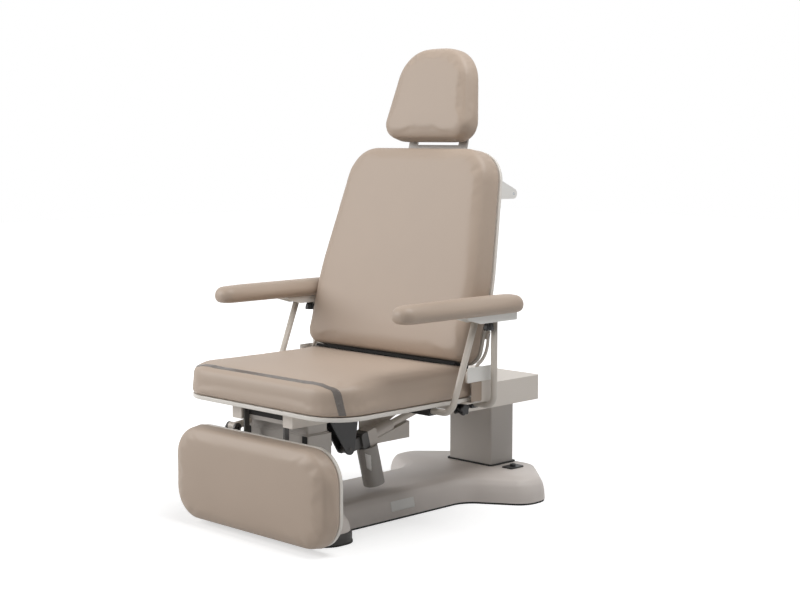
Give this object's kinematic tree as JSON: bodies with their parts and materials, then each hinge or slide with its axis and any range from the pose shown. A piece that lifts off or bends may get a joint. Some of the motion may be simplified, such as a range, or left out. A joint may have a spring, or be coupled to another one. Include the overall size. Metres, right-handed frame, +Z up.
{
  "type": "procedure chair",
  "caption": "Padded procedure chair on a two-column lift base, with reclining back, folding leg section, sliding headrest, adjustable armrests and paper roll holder.",
  "frame": {"origin": "on the floor under the axis of the rear lift column, on the centre plane", "axes": "+Z up, the chair faces -Y, +X is the sitter's left"},
  "size_m": [0.855, 1.097, 1.3925],
  "materials": {
    "upholstery": "soft satin",
    "cream_board": "satin",
    "base_moulding": "satin",
    "foot_rubber": "matte",
    "column_paint": "satin",
    "dark_paint": "satin",
    "housing_paint": "satin",
    "tube_paint": "satin",
    "white_paint": "satin",
    "bright_steel": "brushed",
    "motor_shell": "satin",
    "knob_plastic": "satin",
    "black_cover": "matte",
    "clear_strap": "clear gloss"
  },
  "bodies": {
    "base": {"base_pad": "foot_rubber", "base_cover": "base_moulding", "base_chassis": "dark_paint", "rear_column_outer": "column_paint", "front_column_outer": "column_paint", "front_column_frame": "dark_paint", "column_collar": "foot_rubber", "inlet_panel": "knob_plastic", "lift_motors": "motor_shell", "lift_spindles": "bright_steel"},
    "rear_stage": {"rear_column_middle": "column_paint"},
    "front_stage": {"front_column_middle": "column_paint"},
    "carriage": {"rear_column_inner": "column_paint", "front_column_inner": "column_paint", "seat_rails": "housing_paint", "cross_beams": "dark_paint", "seat_plate": "cream_board", "seat_cushion": "upholstery", "paper_strap": "clear_strap", "frame_housing": "housing_paint", "control_box": "knob_plastic", "hinge_plates": "white_paint", "pivot_pins": "bright_steel", "hanger_bracket": "dark_paint", "leg_drive_bracket": "dark_paint", "arm_sockets": "dark_paint", "frame_screws": "bright_steel", "back_actuator_body": "housing_paint", "back_actuator_motor": "motor_shell"},
    "leg_section": {"leg_frame": "column_paint", "leg_plate": "cream_board", "leg_cushion": "upholstery"},
    "leg_actuator": {"leg_actuator_body": "housing_paint", "leg_actuator_motor": "motor_shell"},
    "leg_actuator_rod": {"leg_actuator_rod": "bright_steel"},
    "back_actuator_rod": {"back_actuator_rod": "housing_paint"},
    "backrest": {"back_plate": "cream_board", "back_cushion": "upholstery", "back_strip": "black_cover", "back_arms": "white_paint", "back_lever": "dark_paint", "post_guides": "dark_paint", "roll_brackets": "white_paint"},
    "roll_rod": {"roll_rod": "bright_steel"},
    "headrest_carrier": {"headrest_posts": "tube_paint"},
    "headrest": {"headrest_plate": "cream_board", "headrest_cushion": "upholstery"},
    "headrest_knob": {"headrest_knob": "knob_plastic"},
    "left_armrest": {"left_arm_tubes": "tube_paint", "left_arm_channel": "white_paint"},
    "left_arm_pad": {"left_arm_pad": "upholstery"},
    "left_pad_knob": {"left_pad_knob": "knob_plastic"},
    "left_clamp_knob": {"left_clamp_knob": "knob_plastic"},
    "right_armrest": {"right_arm_tubes": "tube_paint", "right_arm_channel": "white_paint"},
    "right_arm_pad": {"right_arm_pad": "upholstery"},
    "right_pad_knob": {"right_pad_knob": "knob_plastic"},
    "right_clamp_knob": {"right_clamp_knob": "knob_plastic"}
  },
  "joints": [
    {"name": "seat_lift", "type": "slide", "parent": "base", "child": "carriage", "axis": [0, 0, 1], "range_m": [0, 0.4]},
    {"name": "rear_stage_lift", "type": "slide", "parent": "base", "child": "rear_stage", "axis": [0, 0, 1], "range_m": [0, 0.2]},
    {"name": "front_stage_lift", "type": "slide", "parent": "base", "child": "front_stage", "axis": [0, 0, 1], "range_m": [0, 0.2]},
    {"name": "back_recline", "type": "hinge", "parent": "carriage", "child": "backrest", "pos_m": [0, -0.418, 0.392], "axis": [-1, 0, 0], "range_deg": [0, 74]},
    {"name": "back_drive_stroke", "type": "slide", "parent": "carriage", "child": "back_actuator_rod", "axis": [0, -0.9688, -0.2478], "range_m": [0, 0.1546]},
    {"name": "leg_lift", "type": "hinge", "parent": "carriage", "child": "leg_section", "pos_m": [0, -0.908, 0.358], "axis": [-1, 0, 0], "range_deg": [0, 90]},
    {"name": "leg_drive_tilt", "type": "hinge", "parent": "carriage", "child": "leg_actuator", "pos_m": [-0.172, -0.476, 0.335], "axis": [-1, 0, 0], "range_deg": [0, 6.75]},
    {"name": "leg_drive_stroke", "type": "slide", "parent": "leg_actuator", "child": "leg_actuator_rod", "axis": [0, -0.9935, -0.1139], "range_m": [0, 0.0898]},
    {"name": "headrest_height", "type": "slide", "parent": "backrest", "child": "headrest_carrier", "axis": [0, 0.2639, 0.9646], "range_m": [0, 0.09]},
    {"name": "headrest_tilt", "type": "hinge", "parent": "headrest_carrier", "child": "headrest", "pos_m": [0, -0.19514, 1.14125], "axis": [-1, 0, 0], "range_deg": [-10, 25]},
    {"name": "headrest_knob_turn", "type": "hinge", "parent": "backrest", "child": "headrest_knob", "pos_m": [0.105, -0.21518, 1.02233], "axis": [0, 0.9646, -0.2639], "range_deg": [0, 360]},
    {"name": "roll_spin", "type": "hinge", "parent": "backrest", "child": "roll_rod", "pos_m": [0, -0.17139, 0.9554], "axis": [1, 0, 0], "continuous": true},
    {"name": "left_arm_slide", "type": "slide", "parent": "carriage", "child": "left_armrest", "axis": [1, 0, 0], "range_m": [0, 0.04]},
    {"name": "left_pad_slide", "type": "slide", "parent": "left_armrest", "child": "left_arm_pad", "axis": [0, -1, 0], "range_m": [0, 0.034]},
    {"name": "left_pad_knob_turn", "type": "hinge", "parent": "left_arm_pad", "child": "left_pad_knob", "pos_m": [0.382, -0.398, 0.583], "axis": [0, 0, 1], "range_deg": [0, 360]},
    {"name": "left_clamp_knob_turn", "type": "hinge", "parent": "carriage", "child": "left_clamp_knob", "pos_m": [0.31, -0.444, 0.345], "axis": [1, 0, 0], "range_deg": [0, 360]},
    {"name": "right_arm_slide", "type": "slide", "parent": "carriage", "child": "right_armrest", "axis": [-1, 0, 0], "range_m": [0, 0.04]},
    {"name": "right_pad_slide", "type": "slide", "parent": "right_armrest", "child": "right_arm_pad", "axis": [0, -1, 0], "range_m": [0, 0.034]},
    {"name": "right_pad_knob_turn", "type": "hinge", "parent": "right_arm_pad", "child": "right_pad_knob", "pos_m": [-0.382, -0.398, 0.583], "axis": [0, 0, 1], "range_deg": [0, 360]},
    {"name": "right_clamp_knob_turn", "type": "hinge", "parent": "carriage", "child": "right_clamp_knob", "pos_m": [-0.31, -0.444, 0.345], "axis": [-1, 0, 0], "range_deg": [0, 360]}
  ],
  "couplings": [
    {"joint": "rear_stage_lift", "follows": "seat_lift", "ratio": 0.5},
    {"joint": "front_stage_lift", "follows": "seat_lift", "ratio": 0.5},
    {"joint": "back_drive_stroke", "follows": "back_recline", "m_per_rad": 0.11935},
    {"joint": "leg_drive_tilt", "follows": "leg_lift", "ratio": 0.073929},
    {"joint": "leg_drive_stroke", "follows": "leg_lift", "m_per_rad": 0.05686}
  ]
}
